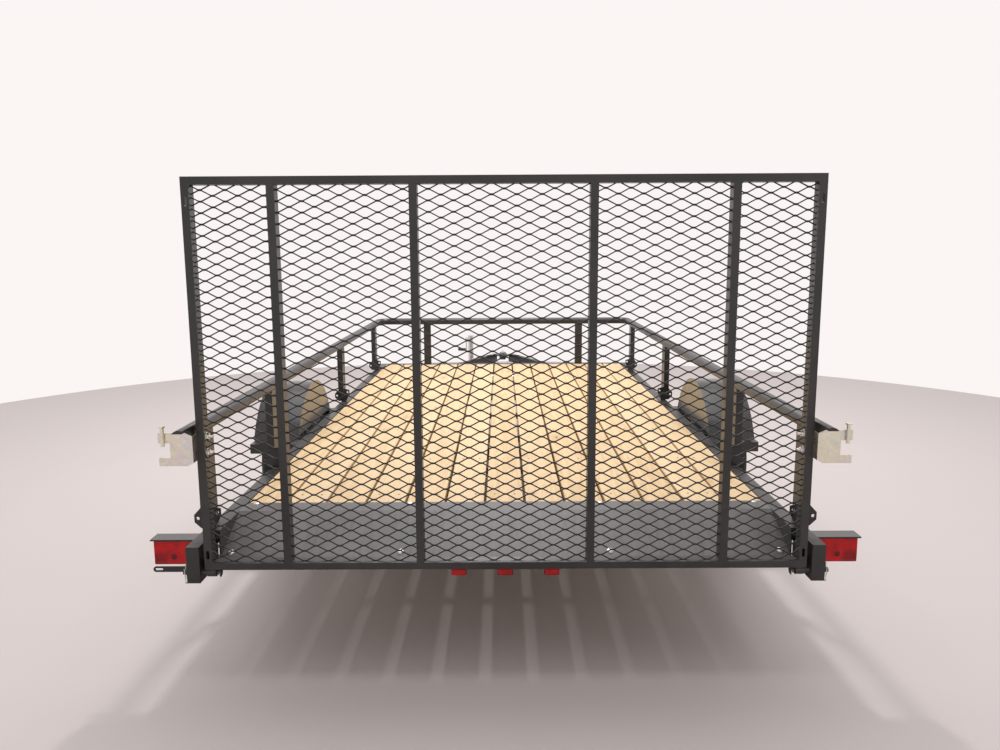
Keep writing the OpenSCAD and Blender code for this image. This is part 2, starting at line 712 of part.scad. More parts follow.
tyre(1);  // tyre_left
tyre(-1);  // tyre_right
fender(1);  // fender_left
fender(-1);  // fender_right
fender_brackets(1);  // fender_brackets_left
fender_brackets(-1);  // fender_brackets_right
light_bracket(1);  // light_bracket_left
light_bracket(-1);  // light_bracket_right
tail_light(1);  // tail_light_left
tail_light(-1);  // tail_light_right
licence_bracket();
marker_bar();
marker_lights();
gate_frame();
gate_mesh();
latch(1);  // latch_left
latch(-1);  // latch_right
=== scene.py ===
import json
import math

import bmesh
import bpy
from mathutils import Matrix, Vector


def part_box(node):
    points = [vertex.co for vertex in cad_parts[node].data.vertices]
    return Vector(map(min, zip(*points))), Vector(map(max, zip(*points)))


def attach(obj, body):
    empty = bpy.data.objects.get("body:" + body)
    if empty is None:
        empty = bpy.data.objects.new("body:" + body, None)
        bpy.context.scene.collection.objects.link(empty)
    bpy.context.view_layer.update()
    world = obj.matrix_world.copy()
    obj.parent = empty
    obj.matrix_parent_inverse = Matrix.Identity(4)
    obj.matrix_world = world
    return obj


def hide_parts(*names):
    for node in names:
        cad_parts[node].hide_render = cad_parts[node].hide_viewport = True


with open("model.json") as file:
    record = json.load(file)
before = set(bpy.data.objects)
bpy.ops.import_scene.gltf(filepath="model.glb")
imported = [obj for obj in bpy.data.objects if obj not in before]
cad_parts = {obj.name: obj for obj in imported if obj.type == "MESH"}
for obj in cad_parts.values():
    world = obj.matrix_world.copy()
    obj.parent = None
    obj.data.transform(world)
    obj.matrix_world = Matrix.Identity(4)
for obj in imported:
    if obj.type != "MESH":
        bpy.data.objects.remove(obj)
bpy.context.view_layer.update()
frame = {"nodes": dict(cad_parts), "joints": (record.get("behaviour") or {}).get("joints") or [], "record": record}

SIDES = (("left", 1), ("right", -1))
BOARDS, BOARD_GAP = 13, 0.0095
RAIL_TALL = 0.0762
BAR_WIDE = 0.025
GATE_BARS = (0.282, 0.723)
TAIL_DROP, TAIL_RUN, TAIL_FLAT = 0.097, 0.207, 0.095


# ---- where things stand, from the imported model

def low(node):
    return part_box(node)[0]


def high(node):
    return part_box(node)[1]


def middle(node):
    return (low(node) + high(node)) / 2


deck_z = high("planks").z
gate_x = low("gate_frame").x
gate_half = high("gate_frame").y
tongue_z = deck_z - RAIL_TALL
wheel = middle("tyre_left")
joint_at = {j["name"]: j.get("pos_m") for j in frame["joints"]}
mount_at = {m["name"]: Vector(m["pos_m"]) for m in frame["record"]["mounts"]}


# ---- camera

def make_camera():
    """Stands behind the closed gate, a little above its middle, and looks forward over the deck."""
    pitch, yaw, roll = 0.1553685, 0.0027171, -0.0054305
    ahead = Vector((math.cos(pitch) * math.cos(yaw), math.cos(pitch) * math.sin(yaw), -math.sin(pitch)))
    right = Vector((math.sin(yaw), -math.cos(yaw), 0))
    up = right.cross(ahead)
    across = right * math.cos(roll) + up * math.sin(roll)
    upward = up * math.cos(roll) - right * math.sin(roll)
    data = bpy.data.cameras.new("camera")
    data.sensor_fit = "HORIZONTAL"
    data.sensor_width = 36
    data.lens = 28.668
    data.clip_start, data.clip_end = 0.05, 100
    camera = bpy.data.objects.new("camera", data)
    turn = Matrix((across, upward, -ahead)).transposed().to_4x4()
    camera.matrix_world = Matrix.Translation((gate_x - 2.51722, 0.00774, deck_z + 0.93206)) @ turn
    bpy.context.scene.collection.objects.link(camera)
    bpy.context.scene.camera = camera


# ---- shapes

def block(bm, a, b, edge=0.0, segments=2):
    """A box between two corners, with its edges eased."""
    a, b = Vector(a), Vector(b)
    made = bmesh.ops.create_cube(bm, size=1)["verts"]
    bmesh.ops.scale(bm, vec=[abs(x) for x in b - a], verts=made)
    bmesh.ops.translate(bm, vec=(a + b) / 2, verts=made)
    if edge:
        edges = list({e for v in made for e in v.link_edges})
        bmesh.ops.bevel(bm, geom=edges, offset=edge, segments=segments, profile=0.5,
                        affect="EDGES", material=-1)


def rod(bm, a, b, radius, sides=24, edge=0.0, tip=None):
    """A round bar from a to b. A six-sided one is a nut or a bolt head."""
    a, b = Vector(a), Vector(b)
    turn = (b - a).to_track_quat("Z", "Y").to_matrix().to_4x4()
    made = bmesh.ops.create_cone(bm, cap_ends=True, segments=sides, radius1=radius,
                                 radius2=radius if tip is None else tip, depth=(b - a).length,
                                 matrix=Matrix.Translation((a + b) / 2) @ turn)["verts"]
    if edge:
        rims = [e for e in {e for v in made for e in v.link_edges}
                if any(len(f.verts) > 4 for f in e.link_faces)]
        bmesh.ops.bevel(bm, geom=rims, offset=edge, segments=2, profile=0.5, affect="EDGES",
                        material=-1)


def turned(bm, outline, centre, axis, steps=48):
    """Spins an outline of (radius, along) points round an axis. Ends on the axis are closed."""
    centre, axis = Vector(centre), Vector(axis).normalized()
    out = axis.orthogonal().normalized()
    verts = [bm.verts.new(centre + out * r + axis * t) for r, t in outline]
    edges = [bm.edges.new(pair) for pair in zip(verts, verts[1:])]
    bmesh.ops.spin(bm, geom=verts + edges, cent=centre, axis=axis, angle=math.tau,
                   steps=steps, use_merge=True, use_normal_flip=False)


def wire(bm, points, radius, closed=False, sides=8):
    """A round wire along a smooth line through the points."""
    curve = bpy.data.curves.new("wire", "CURVE")
    curve.dimensions = "3D"
    curve.bevel_depth, curve.bevel_resolution = radius, max(0, sides // 4 - 1)
    curve.use_fill_caps = True
    curve.resolution_u = 4
    spline = curve.splines.new("NURBS")
    spline.points.add(len(points) - 1)
    for p, at in zip(spline.points, points):
        p.co = (*at, 1)
    spline.use_cyclic_u = closed
    spline.order_u = 3
    spline.use_endpoint_u = not closed
    holder = bpy.data.objects.new("wire", curve)
    mesh = bpy.data.meshes.new_from_object(holder)
    bm.from_mesh(mesh)
    bpy.data.objects.remove(holder)
    bpy.data.curves.remove(curve)
    bpy.data.meshes.remove(mesh)


def mirrored(bm):
    """Adds the same shapes on the other side of the centre line."""
    made = bmesh.ops.mirror(bm, geom=bm.verts[:] + bm.edges[:] + bm.faces[:], axis="Y",
                            merge_dist=-1)["geom"]
    bmesh.ops.reverse_faces(bm, faces=[g for g in made if isinstance(g, bmesh.types.BMFace)])


def piece(name, bm, body, finish, replaces=(), sharp=35):
    """Closes the mesh, gives it its finish and hands it to its body."""
    bmesh.ops.remove_doubles(bm, verts=bm.verts[:], dist=1e-6)
    bmesh.ops.recalc_face_normals(bm, faces=bm.faces[:])
    mesh = bpy.data.meshes.new(name)
    bm.to_mesh(mesh)
    bm.free()
    mesh.polygons.foreach_set("use_smooth", [True] * len(mesh.polygons))
    mesh.set_sharp_from_angle(angle=math.radians(sharp))
    made = bpy.data.objects.new(name, mesh)
    bpy.context.scene.collection.objects.link(made)
    mesh.materials.append(finish)
    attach(made, body)
    if replaces:
        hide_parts(*replaces)


# ---- materials

class Value:
    """A shader socket, or a number, that ordinary arithmetic works on."""

    def __init__(self, paint, socket):
        self.paint, self.socket = paint, socket

    def __add__(self, other):
        return self.paint.maths("ADD", self, other)

    def __radd__(self, other):
        return self.paint.maths("ADD", other, self)

    def __sub__(self, other):
        return self.paint.maths("SUBTRACT", self, other)

    def __rsub__(self, other):
        return self.paint.maths("SUBTRACT", other, self)

    def __mul__(self, other):
        return self.paint.maths("MULTIPLY", self, other)

    def __rmul__(self, other):
        return self.paint.maths("MULTIPLY", other, self)

    def __truediv__(self, other):
        return self.paint.maths("DIVIDE", self, other)

    def __rtruediv__(self, other):
        return self.paint.maths("DIVIDE", other, self)


class Paint:
    """One material and the nodes that make it."""

    def __init__(self, name):
        self.material = bpy.data.materials.new(name)
        self.material.use_nodes = True
        self.tree = self.material.node_tree
        self.shader = self.tree.nodes["Principled BSDF"]

    def node(self, kind, settings=None, inputs=(), out=0):
        made = self.tree.nodes.new(kind)
        for key, value in (settings or {}).items():
            if key == "ramp":
                stops = made.color_ramp.elements
                while len(stops) > 1:
                    stops.remove(stops[-1])
                for i, (at, colour) in enumerate(value):
                    stop = stops[0] if i == 0 else stops.new(at)
                    stop.position, stop.color = at, (*colour, 1)
            else:
                setattr(made, key, value)
        pairs = inputs.items() if isinstance(inputs, dict) else enumerate(inputs)
        for key, value in pairs:
            if isinstance(value, Value):
                self.tree.links.new(value.socket, made.inputs[key])
            else:
                made.inputs[key].default_value = value
        return Value(self, made.outputs[out])

    def place(self, stretch=(1, 1, 1)):
        """Object coordinates, which are the row frame in metres, stretched for a pattern."""
        at = self.node("ShaderNodeTexCoord", out="Object")
        return self.node("ShaderNodeMapping", {}, {"Vector": at, "Scale": stretch})

    def axes(self):
        """Where a point stands along x, y and z, in metres."""
        at = self.node("ShaderNodeTexCoord", out="Object")
        split = self.node("ShaderNodeSeparateXYZ", {}, [at]).socket.node
        return [Value(self, split.outputs[i]) for i in range(3)]

    def noise(self, scale, detail=3, rough=0.5, stretch=(1, 1, 1)):
        return self.node("ShaderNodeTexNoise", {}, {"Vector": self.place(stretch), "Scale": scale,
                         "Detail": detail, "Roughness": rough})

    def between(self, value, a, b):
        """0 below a and 1 above b, with a soft step."""
        return self.node("ShaderNodeMapRange", {"interpolation_type": "SMOOTHSTEP"},
                         {"Value": value, "From Min": a, "From Max": b})

    def cells(self, scale):
        """A colour of its own for each small cell, for spangle or flake."""
        return self.node("ShaderNodeTexVoronoi", {}, {"Vector": self.place(), "Scale": scale},
                         out="Color")

    def colours(self, value, *stops):
        return self.node("ShaderNodeValToRGB", {"ramp": stops}, [value])

    def mix(self, factor, a, b):
        a = (*a, 1) if isinstance(a, tuple) else a
        b = (*b, 1) if isinstance(b, tuple) else b
        return self.node("ShaderNodeMix", {"data_type": "RGBA"}, {0: factor, 6: a, 7: b}, out=2)

    def maths(self, operation, *inputs):
        return self.node("ShaderNodeMath", {"operation": operation}, inputs)

    def bump(self, height, distance, strength=1.0):
        self.set("Normal", self.node("ShaderNodeBump", {}, {"Strength": strength,
                 "Distance": distance, "Height": height}))

    def set(self, socket, value):
        if isinstance(value, Value):
            self.tree.links.new(value.socket, self.shader.inputs[socket])
        else:
            self.shader.inputs[socket].default_value = value


def powder_coat(name, tone, dull, shine, peel, coat=0.1):
    """Black powder coat: orange peel, faint dust on it and a sheen that comes and goes."""
    paint = Paint(name)
    cloud = paint.noise(3.5, 4, 0.6)
    dust = paint.noise(55, 4, 0.7)
    film = paint.between(cloud * 0.75 + dust * 0.25, 0.38, 0.68)
    light = tuple(2.3 * c + 0.004 for c in tone)
    paint.set("Base Color", paint.mix(film, tone, light))
    paint.set("Roughness", dull + film * shine)
    paint.bump(paint.noise(420, 2, 0.5) + paint.noise(90, 2) * 0.6, peel)
    paint.set("Coat Weight", coat)
    paint.set("Coat Roughness", 0.2)
    return paint.material


def pine_boards():
    """Planed pine. Each board has its own tone, its grain runs its length, and knots break it."""
    paint = Paint("pine")
    edge, pitch = 0.965, 0.1491
    board = paint.maths("FLOOR", (paint.axes()[1] + edge + BOARD_GAP / 2) / pitch)
    tone = paint.node("ShaderNodeTexWhiteNoise", {"noise_dimensions": "1D"}, {"W": board * 7.31 + 3.7})
    shift = paint.node("ShaderNodeCombineXYZ", {}, [board * 1.73, board * 0.41, board * 0.27])
    at = paint.node("ShaderNodeVectorMath", {"operation": "ADD"},
                    [paint.node("ShaderNodeTexCoord", out="Object"), shift])
    long = paint.node("ShaderNodeMapping", {}, {"Vector": at, "Scale": (0.55, 9, 9)})
    sway = paint.node("ShaderNodeTexNoise", {}, {"Vector": long, "Scale": 1.3, "Detail": 3,
                      "Roughness": 0.55, "Distortion": 0.4})
    rings = paint.between(paint.maths("SINE", sway * 46), -0.2, 1.0)
    fine = paint.node("ShaderNodeMapping", {}, {"Vector": at, "Scale": (3, 130, 130)})
    fibre = paint.node("ShaderNodeTexNoise", {}, {"Vector": fine, "Scale": 3.2, "Detail": 4,
                       "Roughness": 0.62})
    spots = paint.node("ShaderNodeMapping", {}, {"Vector": at, "Scale": (1.15, 4.1, 1.0)})
    knot = paint.node("ShaderNodeTexVoronoi", {"distance": "EUCLIDEAN"}, {"Vector": spots,
                      "Scale": 1.25, "Randomness": 1.0})
    core = 1 - paint.between(knot, 0.022, 0.05)
    halo = 1 - paint.between(knot, 0.03, 0.16)
    stain = paint.between(paint.noise(1.7, 3, 0.6, (0.6, 2.2, 1)), 0.52, 0.75)
    wood = paint.mix(rings * 0.36, (0.560, 0.405, 0.225), (0.400, 0.245, 0.105))
    wood = paint.mix(tone * 0.55, wood, (0.620, 0.480, 0.300))
    wood = paint.mix(paint.between(fibre, 0.45, 0.75) * 0.30, wood, (0.33, 0.20, 0.09))
    wood = paint.mix(halo * 0.5, wood, (0.30, 0.16, 0.06))
    wood = paint.mix(core, wood, (0.11, 0.05, 0.02))
    wood = paint.mix(stain * 0.20, wood, (0.34, 0.26, 0.17))
    paint.set("Base Color", wood)
    paint.set("Roughness", 0.52 + fibre * 0.22)
    paint.bump(fibre * 0.6 + rings * 0.3, 0.0006, 0.7)
    paint.set("Specular IOR Level", 0.35)
    return paint.material


def deck_steel():
    """The satin steel plate: rolled, with faint handling marks along and across it."""
    paint = Paint("grey_plate")
    cloud = paint.noise(2.2, 5, 0.65)
    rub = paint.noise(9, 3, 0.6, (1, 7, 1))
    grain = paint.noise(600, 2)
    paint.set("Base Color", paint.mix(paint.between(cloud, 0.35, 0.7), (0.045, 0.039, 0.041),
                                      (0.082, 0.072, 0.075)))
    paint.set("Roughness", 0.36 + paint.between(rub, 0.4, 0.7) * 0.16)
    paint.bump(grain + rub * 0.5, 0.00025, 0.6)
    paint.set("Coat Weight", 0.15)
    paint.set("Coat Roughness", 0.3)
    return paint.material


def zinc_plate(name, warm):
    """Bright zinc: spangle, a yellow and violet bloom, and finger marks in its gloss."""
    paint = Paint(name)
    spangle = paint.cells(130)
    bloom = paint.noise(16, 3, 0.6)
    middle_tone = (0.76, 0.70, 0.56) if warm else (0.68, 0.67, 0.65)
    tint = paint.colours(bloom, (0.30, (0.62, 0.61, 0.56)), (0.48, middle_tone),
                         (0.62, (0.70, 0.64, 0.62)), (0.78, (0.78, 0.77, 0.75)))
    paint.set("Base Color", paint.mix(0.08, tint, spangle))
    paint.set("Metallic", 1.0)
    paint.set("Roughness", 0.26 + paint.between(paint.noise(40, 4, 0.6), 0.35, 0.7) * 0.2)
    paint.bump(paint.noise(240, 2), 0.0002, 0.5)
    return paint.material


def tread_rubber():
    """Tyre rubber: dark tread, a greyer bloom on the walls and fine moulding lines."""
    paint = Paint("tyre")
    bloom = paint.between(paint.noise(7, 4, 0.65), 0.35, 0.7)
    grit = paint.noise(260, 3, 0.6)
    paint.set("Base Color", paint.mix(bloom, (0.012, 0.012, 0.0125), (0.030, 0.029, 0.028)))
    paint.set("Roughness", 0.56 + grit * 0.25)
    paint.bump(grit, 0.0005, 0.5)
    paint.set("Specular IOR Level", 0.4)
    return paint.material


def silver_enamel():
    """Wheel paint: silver with a fine flake under a clear coat."""
    paint = Paint("wheel_paint")
    flake = paint.cells(900)
    cloud = paint.noise(5, 4, 0.6)
    silver = paint.mix(cloud, (0.60, 0.61, 0.62), (0.70, 0.71, 0.72))
    paint.set("Base Color", paint.mix(0.06, silver, flake))
    paint.set("Metallic", 0.55)
    paint.set("Roughness", 0.24 + cloud * 0.14)
    paint.bump(paint.noise(300, 2), 0.0001, 0.5)
    paint.set("Coat Weight", 0.5)
    paint.set("Coat Roughness", 0.1)
    return paint.material


def machined_iron():
    """Turned iron, with the tool's fine rings along the axle."""
    paint = Paint("hub_iron")
    cut = paint.maths("SINE", paint.axes()[1] * 5200)
    cloud = paint.noise(22, 4, 0.6)
    paint.set("Base Color", paint.mix(cloud, (0.20, 0.20, 0.205), (0.40, 0.40, 0.41)))
    paint.set("Metallic", 0.9)
    paint.set("Roughness", 0.3 + cloud * 0.2)
    paint.bump(cut * 0.3 + cloud, 0.0002, 0.5)
    return paint.material


def lamp_red(name, bulb_shadows):
    """Red lens with flutes inside it. Painted shade darkens it round the bulb and in the lamp's outer lower
    pocket.
    """
    paint = Paint(name)
    _, y, z = paint.axes()
    flute = paint.maths("SINE", y * 1900)
    cross = paint.maths("SINE", z * 1900)
    facet = (flute * cross) * 0.5 + 0.5
    glow = paint.between(paint.noise(26, 3), 0.3, 0.75)
    red = paint.mix(glow, (0.30, 0.002, 0.003), (0.56, 0.005, 0.007))
    red = paint.mix(facet * 0.25, red, (0.66, 0.010, 0.012))
    if bulb_shadows:
        side = paint.maths("ABSOLUTE", y)
        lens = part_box("tail_light_left")
        for across, up, size, depth in bulb_shadows:
            dy = side - (lens[0].y + across)
            dz = z - (lens[0].z + up)
            away = paint.maths("SQRT", dy * dy + dz * dz)
            # painted shade: a dark round on the lens where the bulb's shadow falls
            shade = (1 - paint.between(away, size * 0.72, size)) * depth
            red = paint.mix(shade, red, (0.085, 0.006, 0.008))
        # painted shade in the lamp's outer lower pocket, seen through the lens
        pocket_shade = paint.maths("MINIMUM", paint.between(side, lens[0].y + 0.080, lens[0].y + 0.100),
                             1 - paint.between(z, lens[0].z + 0.030, lens[0].z + 0.060))
        red = paint.mix(pocket_shade * 0.6, red, (0.10, 0.003, 0.006))
    paint.set("Base Color", red)
    paint.set("Roughness", 0.12 + facet * 0.08)
    paint.bump(facet, 0.0003, 0.5)
    paint.set("Coat Weight", 0.15)
    paint.set("Coat Roughness", 0.05)
    paint.set("Specular IOR Level", 0.25)
    return paint.material


def plain(name, a, b, rough, grit=120, bump=0.0002, metal=0.0, coat=0.0):
    """A clouded tone between two colours, with a fine grit."""
    paint = Paint(name)
    cloud = paint.noise(9, 4, 0.6)
    paint.set("Base Color", paint.mix(paint.between(cloud, 0.3, 0.72), a, b))
    paint.set("Metallic", metal)
    paint.set("Roughness", rough + cloud * 0.12)
    paint.bump(paint.noise(grit, 3), bump, 0.6)
    paint.set("Coat Weight", coat)
    return paint.material


FINISH = {
    "black_steel": powder_coat("black_steel", (0.0100, 0.0085, 0.0085), 0.34, 0.20, 0.00018),
    "mesh_black": powder_coat("mesh_black", (0.0055, 0.0050, 0.0050), 0.56, 0.20, 0.0001, 0.0),
    "fender_black": powder_coat("fender_black", (0.0075, 0.0068, 0.0068), 0.12, 0.12, 0.0001, 0.3),
    "pine": pine_boards(),
    "grey_plate": deck_steel(),
    "zinc": zinc_plate("zinc", False),
    "zinc_yellow": zinc_plate("zinc_yellow", True),
    "hub_iron": machined_iron(),
    "wheel_paint": silver_enamel(),
    "tyre": tread_rubber(),
    "red_lens": lamp_red("red_lens", ()),
    # places the painted bulb shadow on the tail lens: across, up, size and darkness
    "tail_red": lamp_red("tail_red", ((0.0695, 0.029, 0.0115, 0.95),)),
    "grip": plain("grip", (0.014, 0.014, 0.014), (0.03, 0.03, 0.03), 0.5, 500, 0.0006),
    "lamp_base": plain("lamp_base", (0.010, 0.009, 0.009), (0.022, 0.020, 0.020), 0.38),
    "label": plain("label", (0.60, 0.61, 0.62), (0.74, 0.74, 0.74), 0.30, 60, 0.0001, 0.4, 0.3),
}
GLOSS = {"fender_left", "fender_right", "light_bracket_left", "light_bracket_right"}
WARM = {"latch_left", "latch_right"}


def paint_frame():
    """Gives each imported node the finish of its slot, or a glossier or warmer one."""
    slots = {part["node"]: part["material_slot"] for part in frame["record"]["subparts"]}
    for name, node in frame["nodes"].items():
        finish = "fender_black" if name in GLOSS else "zinc_yellow" if name in WARM else slots[name]
        node.data.materials.clear()
        node.data.materials.append(FINISH[finish])


# ---- deck

def planks():
    """Thirteen boards with eased edges."""
    bm = bmesh.new()
    a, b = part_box("planks")
    wide = (b.y - a.y - (BOARDS - 1) * BOARD_GAP) / BOARDS
    for i in range(BOARDS):
        y = a.y + i * (wide + BOARD_GAP)
        block(bm, (a.x, y, a.z), (b.x, y + wide, b.z), 0.004, 3)
    piece("planks_boards", bm, "frame", FINISH["pine"], ["planks"])


def plank_screws():
    """Dark screw heads in rows over the crossmembers, two in each board."""
    bm = bmesh.new()
    a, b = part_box("planks")
    pitch = (b.y - a.y + BOARD_GAP) / BOARDS
    rows = [a.x + 0.095] + [a.x + 0.02 + i * (b.x - a.x - 0.042) / 6 for i in range(1, 7)]
    half_gap = 0.005
    for x in rows:
        for i in range(BOARDS):
            for across in (0.25, 0.75):
                y = a.y + (i + across) * pitch - half_gap
                rod(bm, (x, y, b.z - 0.003), (x, y, b.z + 0.0006), 0.0042, 10)
    piece("plank_screws", bm, "frame", FINISH["lamp_base"])


def bolt(bm, at, axis, across, head):
    """A hex head on a washer, standing on the surface at a point."""
    at, axis = Vector(at), Vector(axis).normalized()
    start = at + axis * 0.0016
    rod(bm, at - axis * 0.001, start, across * 0.82, 20)
    rod(bm, start - axis * 0.0005, start + axis * head, across * 0.577, 6, 0.0006)


def button(bm, at, axis, radius, rise):
    """A domed rivet or carriage bolt head."""
    angles = [math.radians(t) for t in range(0, 90, 18)]
    outline = [(radius * math.cos(t), rise * math.sin(t)) for t in angles]
    turned(bm, [(radius, -0.001)] + outline + [(0, rise)], at, axis, 16)


def deck_fasteners():
    """Carriage bolts: one row by the planks and one low on the slope of the deck plate."""
    bm = bmesh.new()
    a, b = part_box("deck_plate")
    slope = Vector((-(b.z - a.z - 0.005), 0, b.x + 0.001 - TAIL_FLAT - a.x)).normalized()
    inset = 0.024
    for y in (-0.93, -0.355, 0.355, 0.93):
        button(bm, (b.x - 0.010, y, b.z), (0, 0, 1), 0.0105, 0.0035)
        low_z = b.z - TAIL_DROP + inset * TAIL_DROP / TAIL_RUN
        button(bm, (a.x + inset, y * 1.012, low_z), slope, 0.0125, 0.0045)
    piece("deck_bolts", bm, "frame", FINISH["zinc"])


# ---- gate

def gate_mesh():
    """Raised expanded metal in the five bays: zigzag strands that meet at flat bonds."""
    strand = bmesh.new()
    a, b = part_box("gate_mesh")
    pitch, rise, bond, thick, depth = 0.0791, 0.0176, 0.0052, 0.0042, 0.0036
    x = (a.x + b.x) / 2 - 0.0012
    phase_y, phase_z = -0.0015, deck_z + 0.6645
    turns = math.ceil((b.y - a.y) / pitch / 2) * 2 + 4
    lows, highs = thick / 2 - 0.0010, rise - thick / 2 + 0.0010
    start = phase_y - turns // 2 * pitch
    corners = ((-1, -1), (1, -1), (1, 1), (-1, 1))
    face = [strand.verts.new((x + u * depth / 2, start - bond, lows + v * thick / 2))
            for u, v in corners]
    loop = [strand.edges.new((face[k], face[(k + 1) % 4])) for k in range(4)]
    for step in [(0, 2 * bond, 0), (0.0024, pitch / 2 - 2 * bond, highs - lows),
                 (0, 2 * bond, 0), (-0.0024, pitch / 2 - 2 * bond, lows - highs)] * turns:
        grown = bmesh.ops.extrude_edge_only(strand, edges=loop)["geom"]
        ends = [g for g in grown if isinstance(g, bmesh.types.BMVert)]
        bmesh.ops.translate(strand, vec=step, verts=ends)
        loop = [g for g in grown if isinstance(g, bmesh.types.BMEdge)]
    bars = sorted(s * y for s in (-1, 1) for y in GATE_BARS)
    edges = [a.y] + [y for bar in bars for y in (bar - BAR_WIDE / 2, bar + BAR_WIDE / 2)] + [b.y]
    whole, mesh = bmesh.new(), bpy.data.meshes.new("bay")

    def trim(bm, *planes):
        for at, normal in planes:
            cut = bmesh.ops.bisect_plane(bm, geom=bm.verts[:] + bm.edges[:] + bm.faces[:], plane_co=at,
                                         plane_no=normal, clear_outer=True)
            rim = [g for g in cut["geom_cut"] if isinstance(g, bmesh.types.BMEdge)]
            bmesh.ops.holes_fill(bm, edges=rim, sides=8)

    rows = range(math.floor((a.z - phase_z) / rise) - 1, math.ceil((b.z - phase_z) / rise) + 1)
    for odd in (0, 1):
        for left, right in zip(edges[0::2], edges[1::2]):
            run = strand.copy()
            bmesh.ops.translate(run, vec=(0, odd * pitch / 2, 0), verts=run.verts[:])
            trim(run, ((0, left, 0), (0, -1, 0)), ((0, right, 0), (0, 1, 0)))
            run.to_mesh(mesh)
            run.free()
            for j in rows:
                if j % 2 == odd:
                    mesh.transform(Matrix.Translation((0, 0, phase_z + j * rise)))
                    whole.from_mesh(mesh)
                    mesh.transform(Matrix.Translation((0, 0, -phase_z - j * rise)))
    trim(whole, ((0, 0, a.z), (0, 0, -1)), ((0, 0, b.z), (0, 0, 1)))
    strand.free()
    bpy.data.meshes.remove(mesh)
    piece("gate_expanded_mesh", whole, "gate", FINISH["mesh_black"], ["gate_mesh"], 25)


def gate_fasteners():
    """The latch bolts with their nuts, on the inner face of each side upright."""
    bm = bmesh.new()
    inner = gate_half - BAR_WIDE
    for up in (0.283, 0.337):
        at = Vector((gate_x + 0.019, inner, deck_z + up))
        rod(bm, at, at + Vector((0, -0.0018, 0)), 0.0135, 24)
        rod(bm, at + Vector((0, -0.0012, 0)), at + Vector((0, -0.0105, 0)), 0.0110, 6, 0.001)
        rod(bm, at, at + Vector((0, -0.020, 0)), 0.0058, 14, 0.0008)
        head = Vector((gate_x + 0.019, gate_half + 0.004, deck_z + up))
        rod(bm, head, head + Vector((0, 0.004, 0)), 0.0078, 6, 0.0006)
    mirrored(bm)
    piece("latch_bolts", bm, "gate", FINISH["zinc"])


# ---- lights

def tail_lights():
    """Each tail light: a black base, an eased lens with a raised rim, and two screws."""
    for name, side in SIDES:
        a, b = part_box("tail_light_" + name)
        base, lens = bmesh.new(), bmesh.new()
        block(base, (b.x - 0.020, a.y, a.z), (b.x, b.y, b.z), 0.003)
        block(lens, (a.x, a.y + 0.0015, a.z + 0.0015), (b.x - 0.0205, b.y - 0.0015, b.z - 0.0015),
              0.0035, 3)
        front = [f for f in lens.faces if f.normal.x < -0.99]
        bmesh.ops.inset_region(lens, faces=front, thickness=0.004, depth=0, use_even_offset=True)
        bmesh.ops.inset_region(lens, faces=front, thickness=0.0015, depth=-0.0012, use_even_offset=True)
        y = a.y if side > 0 else b.y
        for across in (0.008, 0.131):
            at = Vector((a.x + 0.0005, y + side * across, (a.z + b.z) / 2))
            rod(base, at, at + Vector((0.01, 0, 0)), 0.0032, 12)
        piece("tail_lamp_base_" + name, base, "frame", FINISH["lamp_base"])
        piece("tail_lens_" + name, lens, "frame", FINISH["tail_red"], ["tail_light_" + name])


def marker_lamps():
    """The three small marker lamps under the middle of the rear rail."""
    a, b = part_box("marker_lights")
    z = (a.z + b.z) / 2
    lens, base = bmesh.new(), bmesh.new()
    for y in (-0.158, 0, 0.158):
        block(base, (b.x - 0.004, y - 0.026, z - 0.013), (b.x, y + 0.026, z + 0.013), 0.0015)
        block(lens, (a.x, y - 0.0245, z - 0.0115), (b.x - 0.0042, y + 0.0245, z + 0.0115), 0.005, 4)
    piece("marker_bases", base, "frame", FINISH["lamp_base"])
    piece("marker_lenses", lens, "frame", FINISH["red_lens"], ["marker_lights"])


def block_caps():
    """A cap with an eased rim closes the rear end of each gate post block."""
    bm = bmesh.new()
    a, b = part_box("post_block_left")
    block(bm, (a.x - 0.003, gate_half + 0.0164, a.z - 0.0006),
          (a.x + 0.001, b.y + 0.0006, b.z + 0.0006), 0.0016, 3)
    mirrored(bm)
    piece("block_caps", bm, "frame", FINISH["lamp_base"])


def hinge_clips():
    """A hairpin clip that hangs from the outer end of each hinge pin, and a ring at its inner end."""
    bm = bmesh.new()
    a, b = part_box("hinge_pin_left")
    x, y, z = (a.x + b.x) / 2, b.y - 0.007, (a.z + b.z) / 2
    hairpin = [(0, 0.026), (0, 0.004), (0.002, -0.010), (0.008, -0.022), (0.010, -0.032),
               (0.004, -0.040), (-0.005, -0.038), (-0.008, -0.029), (-0.004, -0.020),
               (-0.0115, -0.006), (-0.0085, 0.006), (-0.0120, 0.016)]
    wire(bm, [(x + dx, y, z + dz) for dx, dz in hairpin], 0.0014)
    angles = [math.tau * i / 12 for i in range(12)]
    ring = [(x + 0.0115 * math.cos(t), a.y + 0.003, z - 0.004 + 0.0115 * math.sin(t)) for t in angles]
    wire(bm, ring, 0.0017, closed=True)
    mirrored(bm)
    piece("hinge_clips", bm, "frame", FINISH["zinc"])


# ---- wheels

